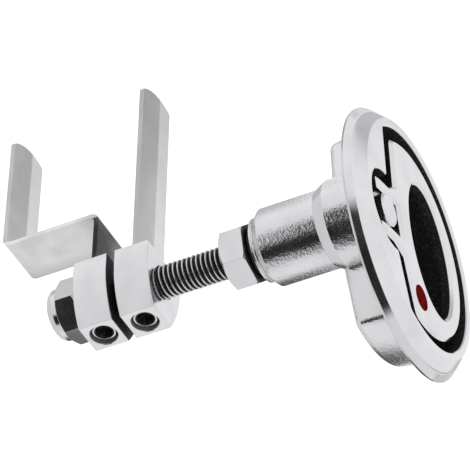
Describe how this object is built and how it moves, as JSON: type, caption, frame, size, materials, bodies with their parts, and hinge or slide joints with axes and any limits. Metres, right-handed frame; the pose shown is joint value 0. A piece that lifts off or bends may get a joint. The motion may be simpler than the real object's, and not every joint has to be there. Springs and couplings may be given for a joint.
{
  "type": "compression latch",
  "caption": "Flush lift-and-turn compression latch: round bezel, fold-flat handle, sprung spindle and a threaded stud with adjustable catch arms.",
  "frame": {"origin": "centre of the bezel on its seating plane", "axes": "+Z out of the front face along the spindle; +Y from the bezel centre toward the spindle"},
  "size_m": [0.1164, 0.0826, 0.1225],
  "materials": {
    "polished_stainless": "mirror polished",
    "brushed_stainless": "satin",
    "turned_stainless": "fine turned",
    "threaded_stainless": "rolled thread",
    "spring_wire": "drawn wire",
    "socket_screw": "machined",
    "acetal": "matte",
    "nylon": "matte",
    "seal_rubber": "matte",
    "red_enamel": "gloss"
  },
  "bodies": {
    "housing": {"housing": "polished_stainless", "bearing_barrel": "polished_stainless", "front_bush": "acetal", "spindle_seal": "seal_rubber", "thrust_washer": "turned_stainless", "rear_bush": "acetal"},
    "spindle": {"spindle": "turned_stainless", "pivot_pin": "turned_stainless", "spring_seat": "turned_stainless", "return_spring": "spring_wire"},
    "handle": {"handle": "polished_stainless", "red_indicator": "red_enamel"},
    "stud": {"stud": "threaded_stainless", "jam_nut": "polished_stainless", "lock_nut": "polished_stainless", "nylon_ring": "nylon", "inner_clamp_block": "polished_stainless", "outer_clamp_block": "polished_stainless", "inner_set_screw": "socket_screw", "outer_set_screw": "socket_screw", "inner_arm": "brushed_stainless", "outer_arm": "brushed_stainless"}
  },
  "joints": [
    {"name": "shaft_draw", "type": "slide", "parent": "housing", "child": "spindle", "axis": [0, 0, -1], "range_m": [0, 0.004], "deforming": ["return_spring"]},
    {"name": "handle_lift", "type": "hinge", "parent": "spindle", "child": "handle", "pos_m": [0, 0.022, 0.0015], "axis": [-1, 0, 0], "range_deg": [0, 90]},
    {"name": "arm_turn", "type": "hinge", "parent": "spindle", "child": "stud", "pos_m": [0, 0.022, -0.06], "axis": [0, 0, 1], "range_deg": [0, 90]}
  ],
  "couplings": [
    {"joint": "handle_lift", "follows": "shaft_draw", "rad_per_m": 392.69}
  ]
}
